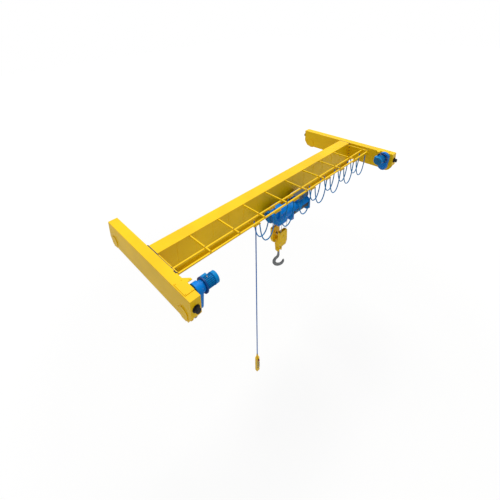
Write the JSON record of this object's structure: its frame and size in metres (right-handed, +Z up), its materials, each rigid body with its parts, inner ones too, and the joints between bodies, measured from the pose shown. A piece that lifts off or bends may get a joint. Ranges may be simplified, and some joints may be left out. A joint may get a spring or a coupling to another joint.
{
  "type": "overhead bridge crane",
  "caption": "Overhead travelling bridge crane: box girder on two wheeled end carriages, rope hoist trolley with hook block, cable rails with hanging loops and a pendant control.",
  "frame": {"origin": "top of the near runway rail, under the middle of the near end carriage", "axes": "+X along the girder to the far carriage, +Y along the runway rail away from the driven wheels, +Z up"},
  "size_m": [7.358, 3.012, 4.4405],
  "materials": {
    "yellow_paint": "gloss",
    "blue_paint": "satin",
    "dark_iron": "satin",
    "wheel_steel": "satin",
    "rubber": "matte",
    "cable_jacket": "matte",
    "rope_steel": "satin",
    "pendant_plastic": "satin",
    "button_plastic": "satin",
    "panel_grey": "satin",
    "hook_steel": "satin"
  },
  "bodies": {
    "bridge": {"girder_top_flange": "yellow_paint", "girder_bottom_flange": "yellow_paint", "girder_webs": "yellow_paint", "girder_end_stops": "yellow_paint", "near_carriage": "yellow_paint", "far_carriage": "yellow_paint", "cable_arms": "yellow_paint", "cable_rail_inner": "yellow_paint", "cable_rail_outer": "yellow_paint", "cable_trolleys_inner": "yellow_paint", "cable_trolleys_outer": "yellow_paint", "drive_gearboxes": "blue_paint", "drive_motors": "blue_paint", "drive_rings": "dark_iron", "carriage_buffers": "rubber", "girder_stop_pads": "rubber", "cable_loops_inner": "cable_jacket", "cable_loops_outer": "cable_jacket", "pendant_cable": "cable_jacket", "pendant_handle": "pendant_plastic", "pendant_buttons": "button_plastic"},
    "near_wheel_a": {"near_wheel_a": "wheel_steel"},
    "near_wheel_b": {"near_wheel_b": "wheel_steel"},
    "far_wheel_a": {"far_wheel_a": "wheel_steel"},
    "far_wheel_b": {"far_wheel_b": "wheel_steel"},
    "trolley": {"trolley_plate_front": "yellow_paint", "trolley_plate_back": "yellow_paint", "trolley_cross_beams": "yellow_paint", "trolley_counterweight": "yellow_paint", "trolley_travel_drive": "blue_paint", "hoist_gearbox": "blue_paint", "hoist_drum_end": "blue_paint", "hoist_motor": "blue_paint", "hoist_panel": "panel_grey", "hoist_rope_front": "rope_steel", "hoist_rope_back": "rope_steel"},
    "trolley_roller_front_a": {"trolley_roller_front_a": "wheel_steel"},
    "trolley_roller_front_b": {"trolley_roller_front_b": "wheel_steel"},
    "trolley_roller_back_a": {"trolley_roller_back_a": "wheel_steel"},
    "trolley_roller_back_b": {"trolley_roller_back_b": "wheel_steel"},
    "drum": {"hoist_drum": "dark_iron"},
    "hook_block": {"block_shells": "yellow_paint", "block_sheaves": "wheel_steel", "block_yoke": "yellow_paint"},
    "hook": {"hook": "hook_steel"}
  },
  "joints": [
    {"name": "near_wheel_a_turn", "type": "hinge", "parent": "bridge", "child": "near_wheel_a", "pos_m": [0, 1.215, 0.1575], "axis": [1, 0, 0], "continuous": true},
    {"name": "near_wheel_b_turn", "type": "hinge", "parent": "bridge", "child": "near_wheel_b", "pos_m": [0, -1.215, 0.1575], "axis": [1, 0, 0], "continuous": true},
    {"name": "far_wheel_a_turn", "type": "hinge", "parent": "bridge", "child": "far_wheel_a", "pos_m": [7.12, 1.215, 0.1575], "axis": [1, 0, 0], "continuous": true},
    {"name": "far_wheel_b_turn", "type": "hinge", "parent": "bridge", "child": "far_wheel_b", "pos_m": [7.12, -1.215, 0.1575], "axis": [1, 0, 0], "continuous": true},
    {"name": "trolley_travel", "type": "slide", "parent": "bridge", "child": "trolley", "axis": [1, 0, 0], "range_m": [-2.82, 2.06]},
    {"name": "trolley_roller_front_a_turn", "type": "hinge", "parent": "trolley", "child": "trolley_roller_front_a", "pos_m": [3.383, -0.144, -0.07], "axis": [0, 1, 0], "range_deg": [-2750, 2000]},
    {"name": "trolley_roller_front_b_turn", "type": "hinge", "parent": "trolley", "child": "trolley_roller_front_b", "pos_m": [4.303, -0.144, -0.07], "axis": [0, 1, 0], "range_deg": [-2750, 2000]},
    {"name": "trolley_roller_back_a_turn", "type": "hinge", "parent": "trolley", "child": "trolley_roller_back_a", "pos_m": [3.383, 0.144, -0.07], "axis": [0, 1, 0], "range_deg": [-2750, 2000]},
    {"name": "trolley_roller_back_b_turn", "type": "hinge", "parent": "trolley", "child": "trolley_roller_back_b", "pos_m": [4.303, 0.144, -0.07], "axis": [0, 1, 0], "range_deg": [-2750, 2000]},
    {"name": "drum_turn", "type": "hinge", "parent": "trolley", "child": "drum", "pos_m": [3.843, -0.384, -0.19], "axis": [1, 0, 0], "range_deg": [-2200, 500]},
    {"name": "hook_lift", "type": "slide", "parent": "trolley", "child": "hook_block", "axis": [0, 0, 1], "range_m": [-2.4, 0.45], "deforming": ["hoist_rope_front", "hoist_rope_back"]},
    {"name": "hook_swivel", "type": "hinge", "parent": "hook_block", "child": "hook", "pos_m": [3.843, 0, -1.62], "axis": [0, 0, 1], "continuous": true}
  ],
  "couplings": [
    {"joint": "trolley_roller_front_a_turn", "follows": "trolley_travel", "rad_per_m": 16.75},
    {"joint": "trolley_roller_front_b_turn", "follows": "trolley_travel", "rad_per_m": 16.75},
    {"joint": "trolley_roller_back_a_turn", "follows": "trolley_travel", "rad_per_m": 16.75},
    {"joint": "trolley_roller_back_b_turn", "follows": "trolley_travel", "rad_per_m": 16.75},
    {"joint": "drum_turn", "follows": "hook_lift", "rad_per_m": 15.385}
  ]
}
